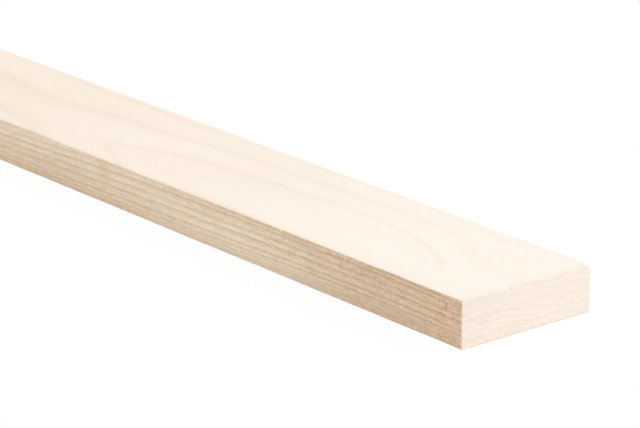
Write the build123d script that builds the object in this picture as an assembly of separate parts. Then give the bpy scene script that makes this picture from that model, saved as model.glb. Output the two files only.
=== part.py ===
from build123d import *
import os

# Sizes of the planed board, in millimetres
plank_length = 1800.0
plank_width = 95.0
plank_thickness = 28.0

# A planed board's four long arrises are lightly rounded, so that they don't splinter in the hand
arris_radius = 1.0

# The crosscut saw leaves the ends square, with their sharp rim only just broken
end_break = 0.3


def planed_section(plane):
    """The board's cross-section, centred across its width, its lower face on Z = 0."""
    with BuildSketch(plane) as section:
        with Locations((0, plank_thickness / 2)):
            RectangleRounded(plank_width, plank_thickness, arris_radius)
    return section.sketch


def sawn_plank():
    """The section run along X from one sawn end to the other, with both ends' rims broken."""
    left_end = Plane.YZ.offset(-plank_length / 2)
    board = extrude(planed_section(left_end), amount=plank_length)
    end_faces = board.faces().filter_by(Axis.X)
    return chamfer(end_faces.edges(), length=end_break)


plank = sawn_plank()
plank.label = "plank"

os.makedirs("parts", exist_ok=True)
export_step(plank, "parts/plank.step")
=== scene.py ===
import math

import bpy
import numpy as np
from mathutils import Matrix, Vector, noise


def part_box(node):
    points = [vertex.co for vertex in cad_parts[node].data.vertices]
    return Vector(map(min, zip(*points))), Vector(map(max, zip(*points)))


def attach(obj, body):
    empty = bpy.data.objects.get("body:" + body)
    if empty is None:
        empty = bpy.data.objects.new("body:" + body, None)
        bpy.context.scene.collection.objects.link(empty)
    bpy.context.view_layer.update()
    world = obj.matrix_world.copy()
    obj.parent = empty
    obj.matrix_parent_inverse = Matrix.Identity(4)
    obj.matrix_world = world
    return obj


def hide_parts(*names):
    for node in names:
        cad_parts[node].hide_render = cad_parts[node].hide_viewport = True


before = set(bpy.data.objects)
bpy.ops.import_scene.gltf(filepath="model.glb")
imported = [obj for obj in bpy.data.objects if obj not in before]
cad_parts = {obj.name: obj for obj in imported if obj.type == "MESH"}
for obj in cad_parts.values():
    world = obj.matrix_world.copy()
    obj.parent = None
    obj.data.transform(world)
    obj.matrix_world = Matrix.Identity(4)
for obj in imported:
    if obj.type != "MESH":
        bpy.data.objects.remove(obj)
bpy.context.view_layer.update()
mm = 0.001
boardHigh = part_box("plank")[1]
halfLength = boardHigh.x / mm
halfWidth = boardHigh.y / mm
thickness = boardHigh.z / mm
print("frame loaded:", round(2 * halfLength), "x", round(2 * halfWidth), "x", round(thickness), "mm")


# Growth rings. Lengths are in mm: x counts from the board's middle, y across the board from its middle
# and z up from its lower face. The near end, which the camera sees, is at +halfLength.
rings = {
    "arcRadius": 247,         # the heart lies this far below the board, so the rings arch upwards
    # In the pairs below, the first number is the distance from the near end.
    # Where the arches peak, from the front edge:
    "crown": ((0, 18), (280, 18), (350, 24), (390, 30), (455, 35), (540, 41), (800, 36), (1150, 12),
              (1500, 30), (1800, 50)),
    # The log isn't straight, so the rings rise and sink:
    "bend": ((0, -1.0), (50, 0), (106, -0.1), (160, -1.0), (193, -1.9), (247, -3.2), (329, -4.5),
             (387, -5.3), (445, -6.0), (540, -7.1), (680, -6.5), (900, -3), (1100, 1), (1300, -2),
             (1550, -8), (1800, -11)),
    # The years between these two lines grow wider and narrower by this much:
    "spreadLines": (12.4, 25.0),
    "spread": ((0, 0), (106, 0.3), (160, 1.0), (193, 1.7), (271, 2.8), (329, 2.2), (387, 0.9),
               (445, -0.2), (540, -0.2), (900, 0), (1100, 1.5), (1300, 0.5), (1800, 0)),
    # and the year above them, up to the line that makes the long closed tongue on the upper face:
    "tongueTop": 28.8,
    "tongue": ((0, -2.0), (40, -1.4), (80, 0.4), (120, 1.6), (165, 2.1), (240, 1.7), (319, 1.0),
               (358, 0.4), (416, 0.2), (540, 0.3), (900, 0.5), (1100, 2), (1300, 0), (1800, 0)),
    # Low swells in the rings: place, half sizes, and how far each lifts them
    "swells": (((338, 21), (44, 11), 1.1), ((34, 60), (40, 17), -1.5)),
    # Height of each ring's dark line on the front edge near the end, then how strongly it shows
    # along the board and on the sawn ends
    "lines": ((-9.5, 0.8, 0.3), (-7.5, 0.9, 0.3), (-5.5, 1.0, 0.4), (-3.9, 0.8, 0.3), (-2.5, 0.9, 0.4),
              (-1.2, 1.2, 0.5), (0.1, 1.3, 0.6), (1.4, 1.4, 0.8), (2.7, 1.4, 0.9), (4.0, 1.4, 0.9),
              (5.4, 1.3, 0.9), (6.9, 1.1, 0.6), (9.5, 1.0, 0.25), (12.4, 1.05, 0.4), (17.3, 1.1, 0.75),
              (20.8, 0.9, 0.25), (25.0, 1.15, 0.4), (28.8, 0.9, 0.5), (32.8, 0.9, 0.45),
              (37.6, 0.5, 0.3), (43.5, 0.8, 0.5), (47.6, 0.9, 0.5), (52, 0.7, 0.5), (56.5, 0.8, 0.5),
              (61, 0.7, 0.5)),
    "lastYear": 4,            # width of the year above the last line
    # The lines stand out or fade in places. Some have a place, its half sizes and how much; the others
    # have where the change sets in, where it is full, and how much
    "endBand": ((44, 4.5), (13, 3.8), 1.1),   # stronger on the sawn ends
    "endFade": (58, 74, 0.6),                 # weaker across the sawn ends
    "edgeFade": (60, 320, 0.2),               # weaker on the narrow edges, away from the ends
    "faceGrow": (220, 380, 0.25),             # stronger on the wide faces, away from the ends
    "faint": ((88, 67), (48, 13), 0.45),      # weaker on the wide faces
    "faceFade": (20, 72),     # on the wide faces they come up from nothing between these places
    "lineShare": 0.5,         # the dark line builds up over this share of the year
    "wideDepth": 1.2,         # but over no more than this on the wide faces, cut along the rings
    "tongueDepth": (0.65, 2.5),    # or than this near the tongue's line: depth, how near
}


def smoothStep(low, high, value):
    t = np.clip((value - low) / (high - low), 0, 1)
    return t * t * (3 - 2 * t)


def rising(reach, value):
    # 0 up to the first place, then up to the last number at the second
    start, stop, most = reach
    return most * smoothStep(start, stop, value)


def falling(reach, value):
    return reach[2] - rising(reach, value)


def softSpot(first, second, place, half):
    # 1 at the place, fading away over the half sizes
    return np.exp(-((first - place[0]) / half[0]) ** 2 - ((second - place[1]) / half[1]) ** 2)


def curveThrough(pairs, at):
    # a smooth curve through a few places, level beyond the last
    places, values = np.array(pairs, float).T
    slopes = np.gradient(values, places)
    n = np.clip(np.searchsorted(places, at) - 1, 0, len(places) - 2)
    width = places[n + 1] - places[n]
    t = np.clip((at - places[n]) / width, 0, 1)
    turn = width * t * (1 - t) * (slopes[n] * (1 - t) - slopes[n + 1] * t)
    return values[n] + (values[n + 1] - values[n]) * t * t * (3 - 2 * t) + turn


def ringLevel(x, y, z):
    # the height that a point's ring has on the front edge near the end, for arrays of points
    fromEnd = halfLength - x
    across = y + halfWidth
    crown = curveThrough(rings["crown"], fromEnd)
    radius = rings["arcRadius"]
    height = z + np.hypot(across - crown, radius) - np.hypot(crown, radius)
    for place, half, lift in rings["swells"]:
        height = height - lift * softSpot(fromEnd, across, place, half)

    low, high = rings["spreadLines"]
    top = rings["tongueTop"]
    lowAt = low + curveThrough(rings["bend"], fromEnd)
    highAt = lowAt + high - low + curveThrough(rings["spread"], fromEnd)
    topAt = highAt + top - high + curveThrough(rings["tongue"], fromEnd)
    spread = low + (height - lowAt) * (high - low) / (highAt - lowAt)
    tongue = high + (height - highAt) * (top - high) / (topAt - highAt)
    level = np.where(height < lowAt, low + height - lowAt, spread)
    level = np.where(height > highAt, tongue, level)
    return np.where(height > topAt, top + height - topAt, level)


def ringAge(level):
    # Whole numbers fall on the dark lines. Also gives the year's width, and how strongly its line
    # shows along the board and on the sawn ends
    heights, onLong, onEnds = np.array(rings["lines"]).T
    order = np.arange(len(heights))
    age = np.interp(level, heights, order)
    years = np.append(np.diff(heights), rings["lastYear"])
    return age, years[age.astype(int)], np.interp(age, order, onLong), np.interp(age, order, onEnds)


# The board's skin: one closed mesh of stations along X, with a fine grid on both sawn ends. The noise
# scales are per mm
board = {
    "arris": 1.0,             # radius of the planed arrises
    "endBreak": 0.25,         # how far the rim of the sawn ends is worn back
    "acrossStep": 1.0,        # the grid on the sawn ends
    "upStep": 0.8,
    "nearStations": ((0, 1.0), (40, 2.5), (120, 6.0), (620, 13.0)),   # from the near end: place, step
    "farStations": ((0, 1.5), (40, 13.0)),    # from the far end
    "closest": 0.12,          # a station nearer than this to the last one is left out
    "sawPitch": 1.1,          # ridges that the crosscut saw left, and their depth
    "sawDepth": 0.05,
    "sawCentre": (60, -140),  # they curve round this place: across, up
    "endFuzz": (0.06, 1.9),   # torn fibre ends: depth, noise scale
    "softSink": 0.05,         # the soft early wood tears out deeper than the dark lines
    "darkWood": 0.8,          # which are this wide
    "rim": 0.4,               # width of the sawn ends' rim
    "rimWear": (0.45, 0.35),  # it is crushed back here and there: depth, noise scale
    "arrisWear": (0.12, (0.036, 0.3, 0.3)),   # and the arrises are uneven along the board
    "knock": (3.8, 0.9),      # how far the blow on the corner reaches, and how deep it went
    "knockWay": (0.33, 0.67, 0.67),
    "sharpAngle": 32,         # degrees
    "arrisAsEdge": (120, 330),    # near the ends the arrises look like the narrow edges, further on less
}
# Small chips out of the front upper arris: from the near end, length beyond that and short of it,
# share of the arris that is gone
arrisNicks = ((316, 7, 1.2, 0.6), (156, 2.2, 1.4, 0.6), (99, 1.6, 1.6, 0.3))
# Tear-out on the near end's rim: across from the front edge, up, half width, half height, depth
endChips = ((37.5, 0, 2.6, 1.2, 0.5), (43, 0, 2.2, 0.9, 0.6), (49.5, 0, 2.0, 1.0, 0.5),
            (35.7, 28, 1.2, 0.9, 0.5), (28.5, 4.4, 0.9, 0.7, 0.3), (71, 0, 3.0, 0.7, 0.3))

# The skin lies on a square image as strips, with the two sawn ends beside the last ones
bakeImage = {
    "side": 1024,             # pixels
    "gap": 4,
    "strips": ((600, 1.69), (600, 1.12), (600, 1.12)),    # length from the near end, pixels per mm
    "ends": 5.8,
}


def steppedPlaces(parts, end):
    places = []
    for n, (start, step) in enumerate(parts):
        stop = parts[n + 1][0] if n + 1 < len(parts) else end
        count = max(1, round((stop - start) / step))
        places += [start + (stop - start) * k / count for k in range(count)]
    return places


def gridLine(half, step):
    # places from -half to half, closer together where the arris is rounded
    arris = board["arris"]
    inner = half - arris
    count = round(2 * inner / step)
    middle = [-inner + 2 * inner * k / count for k in range(count + 1)]
    rim = [arris * k / 3 for k in (1, 2, 3)]
    return [-inner - r for r in reversed(rim)] + middle + [inner + r for r in rim]


def roundArrises(y, z):
    # takes the square section's points to the planed one; z counts from mid-thickness
    arris = board["arris"]
    a = np.clip((np.abs(y) - (halfWidth - arris)) / arris, 0, 1)
    b = np.clip((np.abs(z) - (thickness / 2 - arris)) / arris, 0, 1)
    yRound = halfWidth - arris + arris * a * np.sqrt(1 - b * b / 2)
    zRound = thickness / 2 - arris + arris * b * np.sqrt(1 - a * a / 2)
    yNew = np.where(a > 0, np.sign(y) * yRound, y)
    zNew = np.where(b > 0, np.sign(z) * zRound, z)
    return yNew, zNew


def noiseAt(points, scale, seed):
    offset = Vector((seed * 17.3, seed * 5.1, seed * 9.7))
    return np.array([noise.noise(Vector(p * scale) + offset) for p in points])


def buildBoard():
    ys = gridLine(halfWidth, board["acrossStep"])
    zs = gridLine(thickness / 2, board["upStep"])
    ny, nz = len(ys) - 1, len(zs) - 1
    loop = [(j, 0) for j in range(ny)] + [(ny, k) for k in range(nz)]
    loop += [(j, nz) for j in range(ny, 0, -1)] + [(0, k) for k in range(nz, 0, -1)]
    inside = [(j, k) for j in range(1, ny) for k in range(1, nz)]

    # stations, with more of them over the nicks and one at each cut between the strips of the image
    fromNear = steppedPlaces(board["nearStations"], 2 * halfLength - board["farStations"][-1][0])
    fromFar = steppedPlaces(board["farStations"][:1], board["farStations"][-1][0])
    nicks = [n + s * beyond for n, beyond, short, depth in arrisNicks for s in (0, 0.1, 0.3, 0.6, 1)]
    nicks += [n - s * short for n, beyond, short, depth in arrisNicks for s in (0.4, 1)]
    stations = {halfLength - d for d in fromNear + nicks} | {-halfLength + d for d in fromFar}
    stations |= {halfLength - board["endBreak"], -halfLength + board["endBreak"]}
    strips = bakeImage["strips"]
    cuts = {halfLength - sum(length for length, finer in strips[:n]) for n in range(1, len(strips))}
    stations = sorted(stations | cuts)
    stations = [s for n, s in enumerate(stations)
                if n == 0 or s in cuts or s - stations[n - 1] > board["closest"]]

    # points, first on the square section and then on the planed one
    around = np.array([(ys[j], zs[k]) for j, k in loop])
    within = np.array([(ys[j], zs[k]) for j, k in inside])
    rows = [np.column_stack([np.full(len(around), x), around]) for x in stations]
    caps = [np.column_stack([np.full(len(within), x), within]) for x in (stations[0], stations[-1])]
    square = np.vstack(rows + caps)
    x = square[:, 0]
    y, z = roundArrises(square[:, 1], square[:, 2])
    atEnd = np.isclose(np.abs(x), halfLength)
    y = np.where(atEnd, y * (1 - board["endBreak"] / halfWidth), y)
    z = np.where(atEnd, z * (1 - 2 * board["endBreak"] / thickness), z) + thickness / 2
    points = np.column_stack([x, y, z])

    # faces, the long sides first and then the two ends
    count = len(loop)
    faces = []
    for i in range(len(stations) - 1):
        for n in range(count):
            m = (n + 1) % count
            faces.append((i * count + n, i * count + m, (i + 1) * count + m, (i + 1) * count + n))
    for side, row in ((0, 0), (1, len(stations) - 1)):
        number = {spot: row * count + n for n, spot in enumerate(loop)}
        first = len(stations) * count + side * len(inside)
        number.update({spot: first + n for n, spot in enumerate(inside)})
        for j in range(ny):
            for k in range(nz):
                quad = [number[j, k], number[j + 1, k], number[j + 1, k + 1], number[j, k + 1]]
                faces.append(quad if side else quad[::-1])
    print("board skin:", len(points), "points,", len(faces), "faces")
    return points, faces, atEnd, layOut(stations, around, ny, nz, square, faces)


def layOut(stations, around, ny, nz, square, faces):
    # a place on the image for every corner of every face
    flat = []
    strips, gap, perMm = bakeImage["strips"], bakeImage["gap"], bakeImage["ends"]
    # lower face, back edge, upper face, front edge
    sections = [0] * ny + [1] * nz + [2] * ny + [3] * nz
    widths = (2 * halfWidth, thickness, 2 * halfWidth, thickness)
    lows = []
    up = gap
    for length, finer in strips:
        lows.append([])
        for width in widths:
            lows[-1].append(up)
            up += width * finer + gap
    starts = np.cumsum([0] + [length for length, finer in strips])
    for i in range(len(stations) - 1):
        middle = halfLength - (stations[i] + stations[i + 1]) / 2
        strip = int(np.searchsorted(starts, middle)) - 1
        finer = strips[strip][1]
        along = [gap + (halfLength - x - starts[strip]) * finer for x in stations[i:i + 2]]
        for n, section in enumerate(sections):
            m = (n + 1) % len(sections)
            side = section % 2
            a, b = [around[k][side] + widths[section] / 2 for k in (n, m)]
            low = lows[strip][section]
            flat += [(along[0], low + a * finer), (along[0], low + b * finer),
                     (along[1], low + b * finer), (along[1], low + a * finer)]
    left = gap * 2 + max(length * finer for length, finer in strips[1:])
    bottom = lows[1][0]
    for quad in faces[(len(stations) - 1) * len(sections):]:
        shift = 0 if square[quad[0]][0] > 0 else thickness * perMm + gap
        for corner in quad:
            x, y, z = square[corner]
            across = left + shift + (z + thickness / 2) * perMm
            flat.append((across, bottom + (y + halfWidth) * perMm))
    return np.array(flat) / bakeImage["side"]


def workSurface(points, atEnd):
    # saw marks, torn fibres and chips, all cut into the wood
    x, y, z = points.T
    out = points.copy()
    age, width = ringAge(ringLevel(x, y, z))[:2]
    dark = np.clip(1 - (1 - age % 1) * width / board["darkWood"], 0, 1)

    sawAcross, sawUp = board["sawCentre"]
    ridges = np.sin(2 * math.pi * np.hypot(y - sawAcross, z - sawUp) / board["sawPitch"])
    deep, scale = board["endFuzz"]
    fuzz = noiseAt(points[atEnd], scale, 1)
    cut = np.zeros(len(points))
    cut[atEnd] = board["sawDepth"] * (0.5 + 0.5 * ridges[atEnd]) + deep * (0.5 + 0.5 * fuzz)
    cut[atEnd] += board["softSink"] * (1 - dark[atEnd])
    for across, up, halfWide, halfHigh, deep in endChips:
        reach = np.hypot((y + halfWidth - across) / halfWide, (z - up) / halfHigh)
        cut += atEnd * (x > 0) * deep * smoothStep(-1, -0.2, -reach)
    pastRim = np.maximum(np.abs(y) - halfWidth, np.abs(z - thickness / 2) - thickness / 2)
    rim = atEnd & (pastRim > -board["rim"])
    deep, scale = board["rimWear"]
    cut[rim] += deep * np.clip(noiseAt(points[rim], scale, 3) + 0.15, 0, 1)
    out[:, 0] -= np.sign(x) * cut * atEnd

    # the arrises are worn unevenly, and chipped in places
    toSide = np.abs(y) - (halfWidth - board["arris"])
    toFace = np.abs(z - thickness / 2) - (thickness / 2 - board["arris"])
    corner = np.clip(toSide, 0, None) * np.clip(toFace, 0, None) > 0.02     # on the round of an arris
    deep, scale = board["arrisWear"]
    wear = np.zeros(len(points))
    wear[corner] = deep * np.clip(0.5 + noiseAt(points[corner], scale, 2), 0, 1)
    chip = np.zeros(len(points))
    for place, beyond, short, gone in arrisNicks:
        off = halfLength - x - place
        near = np.clip(1 - np.where(off > 0, off / beyond, -off / short), 0, 1)
        chip += corner * (y < 0) * (z > thickness / 2) * gone * near ** 0.8
    wear *= (1 - chip) * 0.7    # as much across as up
    out[:, 1] -= np.sign(y) * wear
    out[:, 2] -= np.sign(z - thickness / 2) * wear + chip * (z - thickness + board["arris"])

    # the near end's far upper corner is knocked round
    reach, deep = board["knock"]
    off = np.linalg.norm(points - np.array([halfLength, halfWidth, thickness]), axis=1)
    pulled = deep * smoothStep(0, 1, 1 - off / reach)
    out -= pulled[:, None] * np.array(board["knockWay"])
    return out, chip


def edgeShare(points):
    # 1 on the two narrow edges, 0 on the wide faces; the rounded arrises count as edge only near the ends
    x, y, z = points.T
    toSide = (np.abs(y) - (halfWidth - board["arris"])) / board["arris"]
    toFace = (np.abs(z - thickness / 2) - (thickness / 2 - board["arris"])) / board["arris"]
    more = 0.95 * (1 - smoothStep(*board["arrisAsEdge"], halfLength - np.abs(x))) - 0.25
    return smoothStep(-0.25, 0.25, toSide - np.clip(toFace, 0, 1) + more)


def ringLayers(points, atEnd, chip):
    # what the material has to know of the rings at each point
    x, y, z = points.T
    level = ringLevel(x, y, z)
    age, width, onLong, onEnds = ringAge(level)
    onEdge = edgeShare(points)
    onFace = 1 - onEdge
    fromEnd = halfLength - np.abs(x)
    across = y + halfWidth

    place, half, more = rings["endBand"]
    onEnds = onEnds * (1 + more * softSpot(across, z, place, half))
    onEnds = onEnds * (1 - rising(rings["endFade"], across))
    place, half, less = rings["faint"]
    onLong = onLong * (1 - onEdge * rising(rings["edgeFade"], fromEnd))
    onLong = onLong * (1 + onFace * rising(rings["faceGrow"], fromEnd))
    onLong = onLong * (1 - onFace * less * softSpot(fromEnd, across, place, half))
    onLong = onLong * (1 - onFace * (1 - smoothStep(*rings["faceFade"], fromEnd)))

    lineDepth = width * rings["lineShare"]
    most, near = rings["tongueDepth"]
    most = np.where(np.abs(level - rings["tongueTop"]) < near, most, rings["wideDepth"])
    lineDepth = np.where(atEnd | (onEdge > 0.5), lineDepth, np.minimum(lineDepth, most))
    return {"ringLevel": level, "ringAge": age, "yearWidth": width, "lineDepth": lineDepth,
            "ringStrength": np.where(atEnd, onEnds, onLong),
            "edgeFace": onEdge * np.clip(1 - 2 * chip, 0, 1)}    # fresh chips are pale


# How far the wood has yellowed, from 0 to 1. Distances are from the nearer end unless a note says
# otherwise; with three numbers, the change runs from the first place to the second, by the third
yellowing = {
    "edge": (0.6, 0.35),              # narrow edges near the ends, and how much more at their top
    "edgeReach": (25, 150, 260),      # that fades from here to here, or this much further at the top
    "edgeTip": (5, 45, 0.25),         # more still right at the ends
    "lowDown": 0.25,                  # beyond, only low down on the edges
    "lowDownMore": (180, 420, 0.34),
    "face": 0.16,                     # wide faces
    "faceMore": (60, 560, 0.8),       # from the near end
    "handled": (6, 0.25),             # near the arrises: how near, how much
    "faceTip": (3, 0.3),              # near the sawn ends
    "sawn": 0.1,                      # sawn ends
    "sawnFront": (-20, 0, 0.35),      # more towards the front edge, measured from the board's middle
    "sawnRim": (0.8, 0.8),            # and close to the narrow edges
}


def closeTo(reach, distance):
    # the last number where the distance is 0, fading away
    near, most = reach
    return most * np.exp(-distance / near)


def warmShare(points, onEdge):
    # how far each point has yellowed
    x, y, z = points.T
    fromEnd = halfLength - np.abs(x)
    inward = halfWidth - np.abs(y)
    height = z / thickness

    start, stop, further = yellowing["edgeReach"]
    nearEnd = 1 - smoothStep(start, stop + further * height, fromEnd)
    low, more = yellowing["edge"]
    lowDown = yellowing["lowDown"] + rising(yellowing["lowDownMore"], fromEnd)
    lowDown = lowDown * np.clip(1 - height, 0, 1) ** 1.5
    edge = (low + more * height) * nearEnd + lowDown * (1 - nearEnd)
    edge += falling(yellowing["edgeTip"], fromEnd)

    face = yellowing["face"] + rising(yellowing["faceMore"], halfLength - x)
    face += closeTo(yellowing["handled"], inward) + closeTo(yellowing["faceTip"], fromEnd)
    sawn = yellowing["sawn"] + falling(yellowing["sawnFront"], y)
    sawn += closeTo(yellowing["sawnRim"], inward)
    return np.where(fromEnd < 0.1, sawn, face + (edge - face) * onEdge)


def addAttribute(mesh, name, values):
    layer = mesh.attributes.new(name, "FLOAT", "POINT")
    layer.data.foreach_set("value", np.asarray(values, np.float32))


points, faces, atEnd, onImage = buildBoard()
worked, chip = workSurface(points, atEnd)
layers = ringLayers(points, atEnd, chip)
boardMesh = bpy.data.meshes.new("plankBoard")
boardMesh.from_pydata([tuple(p * mm) for p in worked], [], faces)
layers.update({"sawnEnd": atEnd, "warmth": warmShare(points, layers["edgeFace"])})
for name, values in layers.items():
    addAttribute(boardMesh, name, values)
boardMesh.uv_layers.new(name="OFBake").uv.foreach_set("vector", onImage.ravel())
for polygon in boardMesh.polygons:
    polygon.use_smooth = True
boardMesh.set_sharp_from_angle(angle=math.radians(board["sharpAngle"]))
boardMesh.validate()
boardPiece = bpy.data.objects.new("plankBoard", boardMesh)
bpy.context.scene.collection.objects.link(boardPiece)


# Bare softwood, one finish for each way the board is cut. The narrow edges' colours are deeper than the
# wide faces', partly by their own grain and partly as painted shade
wideFace = {
    "pale": (0.975, 0.90, 0.80),
    "warm": (0.935, 0.815, 0.695),    # where the wood has yellowed
    "line": (0.93, 0.905, 0.89),      # tint of the ring lines, over the colour beneath
    "lineShare": 0.65,
    "patches": 1.5,           # how unevenly the lines show along their way
    "fibre": 0.04,            # the rest is how strongly each grain shows
    "streak": 0.02,
    "hue": 0.045,
    "hatch": 0.0,
}
# partly painted shade: deeper and more saturated than the wide faces
narrowEdgeAndShade = {
    "pale": (0.955, 0.805, 0.622),
    "warm": (0.80, 0.587, 0.405),
    "line": (0.735, 0.64, 0.53),
    "lineShare": 0.6,
    "patches": 0.55,
    "fibre": 0.36,
    "streak": 0.10,
    "hue": 0.14,
    "hatch": 0.22,
}
sawnEnd = {
    "pale": (0.95, 0.85, 0.745),
    "warm": (0.92, 0.795, 0.685),
    "line": (0.87, 0.83, 0.80),
    "lineShare": 0.45,
    "patches": 1.2,
    "fibre": 0.045,
    "streak": 0.03,
    "hue": 0.05,
    "hatch": 0.0,
}
timber = {
    "roughness": 0.62,
    "fibreRough": 0.2,        # the fibres change the roughness by this
    "specular": 0.3,
    "fibreShare": (1.4, 1.2),     # strength of the fibres on pale wood, and how much more on yellowed
    "endStreakShare": 0.15,
    "cloudShare": 1.2,        # the yellowing is cloudy
    "browner": 0.1,           # darker fibres are browner too
    "hueRed": 0.5,            # share of the change in hue that goes into the red
    "ringWobble": 0.12,
    "lineAfter": 0.25,        # a line stops sharply, in this share of the depth that it builds up over
    "lineRise": 0.3,          # the lines stand out by this share of the fibres' relief
    "bump": 0.00008,          # metres
    "flecks": {"scale": (70, 420, 420), "size": 0.16, "share": 0.2, "colour": (0.50, 0.33, 0.19),
               "strength": 0.3},
}
# Grain: scale per metre along, across and up, then detail and roughness of the noise
grain = {
    "fibre": ((190, 1250, 1250), 3, 0.6),     # long along the board, fine across it
    "endFibre": ((40, 520, 420), 2, 0.6),     # the sawn fibre ends
    "hatch": ((620, 90, 240), 2, 0.55),       # knife marks stand upright on the narrow edges
    "cloud": ((5, 22, 22), 2, 0.55),
    "hue": ((70, 260, 240), 2, 0.55),
    # These follow the rings: along the board, through the rings, across the board
    "streak": ((6, 420, 45), 3, 0.55),
    "endStreak": ((40, 650, 100), 3, 0.6),
    "patch": ((14, 160, 70), 3, 0.6),
}
markColours = {
    "dark": (0.30, 0.18, 0.10),
    "resin": (0.72, 0.43, 0.20),
    "golden": (0.78, 0.58, 0.34),
    # colour of the painted shade along the front upper arris
    "arrisShade": (0.30, 0.19, 0.12),
    "torn": (0.99, 0.96, 0.92),
}
# Small marks: from the near end, across from the front edge, up; half sizes; colour, and how strongly
# it shows
marks = (
    ((12.2, 0, 23.2), (0.8, 1, 1.6), "dark", 0.6),
    ((13.0, 0, 21.0), (0.9, 1, 2.6), "dark", 0.7),
    ((13.2, 0, 25.8), (1.1, 1, 2.4), "golden", 0.5),
    ((16.8, 0, 25.2), (1.1, 1, 2.8), "golden", 0.5),
    ((25.6, 0, 9.4), (1.7, 1, 1.2), "resin", 0.7),
    ((8.5, 0, 1.6), (1.4, 1, 1.2), "resin", 0.7),
    ((332, 0, 22), (12, 1, 16), "golden", 0.5),
    ((33, 0, 18), (14, 1, 11), "golden", 0.2),
    ((190, 0, 28), (130, 6, 3), "resin", 0.2),
    # painted shade: a dark line along the front upper arris, on the narrow edge only
    ((155, 0, 27.2), (100, 1.6, 1.4), "arrisShade", 0.24),
    ((35, 0, 27.2), (70, 1.6, 1.3), "arrisShade", 0.16),
    ((63.8, 0, 21.3), (0.7, 1, 0.9), "dark", 0.4),
    ((75.4, 0, 25.8), (0.7, 1, 1.5), "dark", 0.5),
    ((99.6, 0, 25.6), (0.9, 1, 1.5), "dark", 0.5),
    ((58.5, 0, 14.8), (0.8, 1, 0.9), "dark", 0.35),
    ((36.5, 0, 17.3), (1.0, 1, 0.7), "dark", 0.35),
    ((44.0, 0, 17.0), (0.8, 1, 0.7), "dark", 0.3),
    ((72.0, 0, 17.3), (0.8, 1, 0.8), "dark", 0.3),
    ((32.0, 0, 12.4), (1.0, 1, 0.8), "dark", 0.35),
    ((54.0, 0, 12.7), (0.8, 1, 0.7), "dark", 0.3),
    ((128, 0, 10.2), (1.2, 1, 0.9), "dark", 0.3),
    ((108, 0, 2.6), (1.0, 1, 1.6), "dark", 0.3),
    ((197, 0, 9.0), (1.2, 1, 0.8), "dark", 0.25),
    ((169, 0, 14.8), (1.4, 1, 0.8), "dark", 0.25),
    ((224.3, 52.6, 28), (5.0, 1.2, 1), "dark", 0.22),
    ((240.7, 33.7, 28), (3.0, 1.0, 1), "dark", 0.15),
    ((264, 24.7, 28), (4.0, 0.8, 1), "dark", 0.10),
    ((77, 34.5, 28), (6.0, 0.7, 1), "dark", 0.13),
    ((64, 31, 28), (7.0, 0.7, 1), "dark", 0.16),
    ((68, 27.5, 28), (8.0, 0.6, 1), "dark", 0.09),
    ((56, 33.5, 28), (5.0, 3.0, 1), "resin", 0.12),
    ((48, 27, 28), (3.5, 3.5, 1), "resin", 0.10),
    ((60, 83, 28), (9.0, 3.0, 1), "resin", 0.09),
    # painted shade in the two small hollows cut into the near end, on its upper rim and low down
    ((0, 35.7, 27.2), (1, 1.8, 1.3), "dark", 0.18),
    ((0, 28.5, 4.4), (1, 1.3, 1.2), "dark", 0.14),
    ((0, 48.6, 2.9), (1, 4.2, 0.7), "torn", 0.9),
    ((0, 46.4, 1.2), (1, 3.4, 0.8), "torn", 0.9),
)


def addNode(tree, kind, inputs=None, **settings):
    node = tree.nodes.new(kind)
    for name, value in settings.items():
        setattr(node, name, value)
    for name, value in (inputs or {}).items():
        if isinstance(value, bpy.types.NodeSocket):
            tree.links.new(value, node.inputs[name])
        else:
            node.inputs[name].default_value = value
    return node


def maths(tree, operation, *values, clamp=False):
    values = dict(enumerate(values))
    return addNode(tree, "ShaderNodeMath", values, operation=operation, use_clamp=clamp).outputs[0]


def mixValue(tree, factor, a, b):
    return addNode(tree, "ShaderNodeMix", {0: factor, 2: a, 3: b}).outputs[0]


def mixColour(tree, factor, a, b, mode="MIX"):
    node = addNode(tree, "ShaderNodeMix", {0: factor}, data_type="RGBA", blend_type=mode)
    for socket, value in ((node.inputs[6], a), (node.inputs[7], b)):
        if isinstance(value, bpy.types.NodeSocket):
            tree.links.new(value, socket)
        else:
            socket.default_value = (*value, 1)
    return node.outputs[2]


def grainAt(tree, place, name):
    # evenly spread around 0
    scale, detail, roughness = grain[name]
    mapped = addNode(tree, "ShaderNodeMapping", {"Vector": place, "Scale": scale}).outputs[0]
    values = {"Vector": mapped, "Scale": 1, "Detail": detail, "Roughness": roughness}
    return maths(tree, "SUBTRACT", addNode(tree, "ShaderNodeTexNoise", values).outputs["Fac"], 0.5)


def readLayer(tree, name):
    return addNode(tree, "ShaderNodeAttribute", attribute_name=name).outputs["Fac"]


def forFaces(tree, onEdge, onEnd):
    # every value and colour of the three finishes, mixed by the way the board is cut
    mixed = {}
    for key, wide in wideFace.items():
        mix = mixColour if isinstance(wide, tuple) else mixValue
        mixed[key] = mix(tree, onEnd, mix(tree, onEdge, wide, narrowEdgeAndShade[key]), sawnEnd[key])
    return mixed


def fadeTo(tree, value, reach, steps="SMOOTHSTEP"):
    # 1 where the value is 0, down to 0 where it comes to the reach
    return addNode(tree, "ShaderNodeMapRange", {0: value, 1: reach, 2: 0, 3: 0, 4: 1},
                   interpolation_type=steps).outputs[0]


def darkLines(tree, age):
    # the dark line builds up through the last of the year's growth and stops sharply
    width = readLayer(tree, "yearWidth")
    depth = readLayer(tree, "lineDepth")
    year = maths(tree, "FRACT", age)
    before = maths(tree, "MULTIPLY", maths(tree, "SUBTRACT", 1, year), width)
    after = maths(tree, "MULTIPLY", year, width)
    return maths(tree, "MAXIMUM", fadeTo(tree, before, depth, "LINEAR"),
                 fadeTo(tree, after, maths(tree, "MULTIPLY", depth, timber["lineAfter"])))


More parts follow.
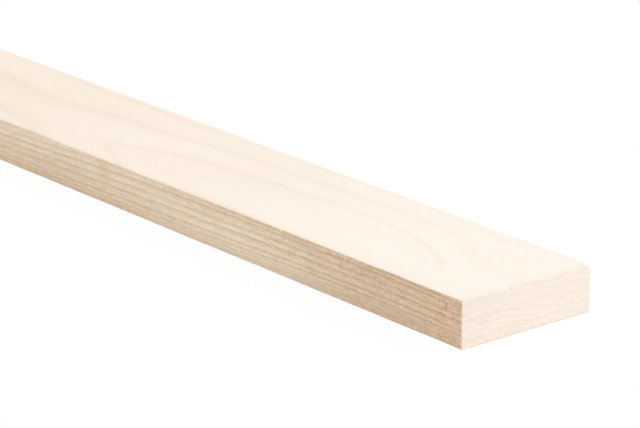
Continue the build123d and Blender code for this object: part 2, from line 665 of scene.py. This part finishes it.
def scatteredFlecks(tree, place):
    # resin canals cut lengthways: short thin dashes, few of them
    flecks = timber["flecks"]
    mapped = addNode(tree, "ShaderNodeMapping", {"Vector": place, "Scale": flecks["scale"]}).outputs[0]
    cells = addNode(tree, "ShaderNodeTexVoronoi", {"Vector": mapped, "Scale": 1}, feature="F1").outputs
    drawn = addNode(tree, "ShaderNodeSeparateColor", {0: cells["Color"]}).outputs[0]
    chosen = maths(tree, "LESS_THAN", drawn, flecks["share"])
    return maths(tree, "MULTIPLY", fadeTo(tree, cells["Distance"], flecks["size"]), chosen)


def vectorMaths(tree, operation, *values):
    return addNode(tree, "ShaderNodeVectorMath", dict(enumerate(values)), operation=operation).outputs


def markShare(tree, place, at, half):
    fromEnd, across, up = at
    centre = [v * mm for v in (halfLength - fromEnd, across - halfWidth, up)]
    off = vectorMaths(tree, "SUBTRACT", place, centre)[0]
    off = vectorMaths(tree, "DIVIDE", off, [v * mm for v in half])[0]
    return fadeTo(tree, vectorMaths(tree, "LENGTH", off)["Value"], 1)


def softwoodMaterial():
    material = bpy.data.materials.new("bareSoftwood")
    material.use_nodes = True
    tree = material.node_tree
    shader = tree.nodes["Principled BSDF"]
    place = addNode(tree, "ShaderNodeTexCoord").outputs["Object"]
    onEdge = readLayer(tree, "edgeFace")
    onEnd = readLayer(tree, "sawnEnd")
    warmth = readLayer(tree, "warmth")
    finish = forFaces(tree, onEdge, onEnd)
    level = maths(tree, "MULTIPLY", readLayer(tree, "ringLevel"), mm)
    spot = addNode(tree, "ShaderNodeSeparateXYZ", {0: place}).outputs
    alongRings = addNode(tree, "ShaderNodeCombineXYZ", {0: spot[0], 1: level, 2: spot[1]}).outputs[0]
    fine = mixValue(tree, onEnd, grainAt(tree, place, "fibre"), grainAt(tree, place, "endFibre"))
    streak = grainAt(tree, alongRings, "streak")

    # ring lines, uneven in strength along their way
    age = maths(tree, "MULTIPLY_ADD", streak, timber["ringWobble"], readLayer(tree, "ringAge"))
    patchy = maths(tree, "MULTIPLY_ADD", grainAt(tree, alongRings, "patch"), finish["patches"],
                   readLayer(tree, "ringStrength"))
    lines = maths(tree, "MULTIPLY", darkLines(tree, age), maths(tree, "MAXIMUM", patchy, 0))
    lineShare = maths(tree, "MULTIPLY", lines, finish["lineShare"], clamp=True)
    lineTint = mixColour(tree, lineShare, (1, 1, 1), finish["line"])
    cloudy = maths(tree, "MULTIPLY_ADD", grainAt(tree, place, "cloud"), timber["cloudShare"], warmth,
                   clamp=True)
    colour = mixColour(tree, cloudy, finish["pale"], finish["warm"])
    colour = mixColour(tree, 1.0, colour, lineTint, "MULTIPLY")

    # light and dark grain, and its hue
    endStreak = maths(tree, "MULTIPLY", grainAt(tree, alongRings, "endStreak"), onEnd)
    onPale, more = timber["fibreShare"]
    rougher = maths(tree, "MULTIPLY", fine, maths(tree, "MULTIPLY_ADD", warmth, more, onPale))
    hatch = maths(tree, "MULTIPLY", grainAt(tree, place, "hatch"), warmth)
    shade = maths(tree, "MULTIPLY_ADD", endStreak, 2 * timber["endStreakShare"], 1)
    shade = maths(tree, "MULTIPLY_ADD", rougher, finish["fibre"], shade)
    for amount, key in ((streak, "streak"), (hatch, "hatch")):
        shade = maths(tree, "MULTIPLY_ADD", maths(tree, "MULTIPLY", amount, 2), finish[key], shade)
    hue = maths(tree, "MULTIPLY", grainAt(tree, place, "hue"), finish["hue"])
    brown = maths(tree, "MULTIPLY", maths(tree, "SUBTRACT", shade, 1), timber["browner"])
    redder = maths(tree, "SUBTRACT", maths(tree, "MULTIPLY_ADD", hue, timber["hueRed"], shade), brown)
    bluer = maths(tree, "ADD", maths(tree, "SUBTRACT", shade, hue), brown)
    tone = addNode(tree, "ShaderNodeCombineColor", {0: redder, 1: shade, 2: bluer}).outputs[0]
    colour = mixColour(tree, 1.0, colour, tone, "MULTIPLY")

    # flecks and small marks; the flecks and the dark marks are sunk
    longOnly = maths(tree, "SUBTRACT", 1, onEnd)
    flecks = maths(tree, "MULTIPLY", scatteredFlecks(tree, place), longOnly)
    fleckShare = maths(tree, "MULTIPLY", flecks, timber["flecks"]["strength"])
    colour = mixColour(tree, fleckShare, colour, timber["flecks"]["colour"])
    sunk = flecks
    for at, half, kind, strength in marks:
        share = markShare(tree, place, at, half)
        # the painted shade along the arris is kept to the narrow edge
        if kind == "arrisShade":
            share = maths(tree, "MULTIPLY", share, onEdge)
        colour = mixColour(tree, maths(tree, "MULTIPLY", share, strength), colour, markColours[kind])
        if kind == "dark":
            sunk = maths(tree, "MAXIMUM", sunk, share)
    tree.links.new(colour, shader.inputs["Base Color"])

    rough = maths(tree, "MULTIPLY_ADD", fine, timber["fibreRough"], timber["roughness"])
    tree.links.new(rough, shader.inputs["Roughness"])
    shader.inputs["Specular IOR Level"].default_value = timber["specular"]
    height = maths(tree, "SUBTRACT", maths(tree, "MULTIPLY_ADD", lines, timber["lineRise"], fine), sunk)
    relief = {"Height": height, "Distance": timber["bump"], "Strength": 1.0}
    bump = addNode(tree, "ShaderNodeBump", relief)
    tree.links.new(bump.outputs[0], shader.inputs["Normal"])
    return material


boardMesh.materials.append(softwoodMaterial())
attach(boardPiece, "root")
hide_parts("plank")
print("board finished")


# Plain studio: white floor, even light from all round and one broad soft lamp from beyond the near end
studio = {
    "floorSize": 14.0,        # metres
    "floorBounce": 0.9,       # how pale the floor is for the light; the camera sees it plain white
    "floorWhite": 0.95,       # share of that white that shines by itself; the rest keeps the shadow
    "floorDrop": 0.3,         # mm, so that it doesn't lie in the board's lower face
    "seepage": 1.5,           # mm; this near the board, light comes up through the floor
    "around": 0.75,           # how strongly the light from all round falls on the board
    "sunFrom": (0.46, 0.50, 0.73),
    "sunStrength": 1.18,
    "sunSpread": 60,          # degrees
}


def seenByCamera(tree):
    light = addNode(tree, "ShaderNodeLightPath")
    seen = maths(tree, "ADD", light.outputs["Is Camera Ray"], light.outputs["Is Glossy Ray"])
    return maths(tree, "ADD", seen, light.outputs["Is Transmission Ray"], clamp=True)


def floorMaterial():
    material = bpy.data.materials.new("studioFloor")
    material.use_nodes = True
    tree = material.node_tree
    tree.nodes.clear()
    seen = seenByCamera(tree)
    tint = mixColour(tree, seen, (studio["floorBounce"],) * 3, (1, 1, 1))
    matte = addNode(tree, "ShaderNodeBsdfDiffuse", {"Color": tint}).outputs[0]
    white = addNode(tree, "ShaderNodeEmission", {"Color": (1, 1, 1, 1), "Strength": 1.0}).outputs[0]
    share = maths(tree, "MULTIPLY", seen, studio["floorWhite"])
    mixed = addNode(tree, "ShaderNodeMixShader", {0: share, 1: matte, 2: white}).outputs[0]

    # from below the floor isn't there, and the board's lower face is lit through it
    travelled = addNode(tree, "ShaderNodeLightPath").outputs["Ray Length"]
    short = maths(tree, "LESS_THAN", travelled, studio["seepage"] * mm)
    behind = addNode(tree, "ShaderNodeNewGeometry").outputs["Backfacing"]
    through = maths(tree, "MAXIMUM", short, behind)
    clear = addNode(tree, "ShaderNodeBsdfTransparent").outputs[0]
    surface = addNode(tree, "ShaderNodeMixShader", {0: through, 1: mixed, 2: clear}).outputs[0]
    addNode(tree, "ShaderNodeOutputMaterial", {"Surface": surface})
    return material


def addFloor():
    half = studio["floorSize"] / 2
    mesh = bpy.data.meshes.new("studioFloor")
    low = -studio["floorDrop"] * mm
    corners = [(-half, -half, low), (half, -half, low), (half, half, low), (-half, half, low)]
    mesh.from_pydata(corners, [], [(0, 1, 2, 3)])
    mesh.materials.append(floorMaterial())
    floor = bpy.data.objects.new("studioFloor", mesh)
    bpy.context.scene.collection.objects.link(floor)


def addWorld():
    world = bpy.data.worlds.new("studioWorld")
    world.use_nodes = True
    tree = world.node_tree
    strength = mixValue(tree, seenByCamera(tree), studio["around"], 1.0)
    tree.links.new(strength, tree.nodes["Background"].inputs["Strength"])
    tree.nodes["Background"].inputs["Color"].default_value = (1, 1, 1, 1)
    bpy.context.scene.world = world


def addSun():
    light = bpy.data.lights.new("studioSun", "SUN")
    light.energy = studio["sunStrength"]
    light.angle = math.radians(studio["sunSpread"])
    sun = bpy.data.objects.new("studioSun", light)
    bpy.context.scene.collection.objects.link(sun)
    sun.rotation_euler = Vector(studio["sunFrom"]).to_track_quat("Z", "Y").to_euler()


addFloor()
addWorld()
addSun()
print("studio ready")


# The photograph's view: a long lens, looking down the board from its near end
camera = {
    "fromCorner": (1183.1, -1057.5, 603.2),   # mm from the near end's lower front corner
    "turn": 50.95,            # degrees
    "tilt": 18.34,
    "roll": -0.21,
    "lens": 177.0,            # mm, on a sensor this wide
    "sensor": 36,
    "clip": (0.05, 60),       # metres
}


def addCamera():
    data = bpy.data.cameras.new("photoCamera")
    data.lens = camera["lens"]
    data.sensor_width = camera["sensor"]
    data.clip_start, data.clip_end = camera["clip"]
    viewer = bpy.data.objects.new("photoCamera", data)
    bpy.context.scene.collection.objects.link(viewer)
    corner = Vector((halfLength, -halfWidth, 0)) * mm
    heading = Matrix.Rotation(math.radians(camera["turn"]), 4, "Z")
    pitch = Matrix.Rotation(math.radians(90 - camera["tilt"]), 4, "X")
    rolled = Matrix.Rotation(math.radians(camera["roll"]), 4, "Z")
    place = Matrix.Translation(corner + Vector(camera["fromCorner"]) * mm)
    viewer.matrix_world = place @ heading @ pitch @ rolled
    bpy.context.scene.camera = viewer


addCamera()
bpy.context.scene.view_settings.view_transform = "Standard"
print("camera set")
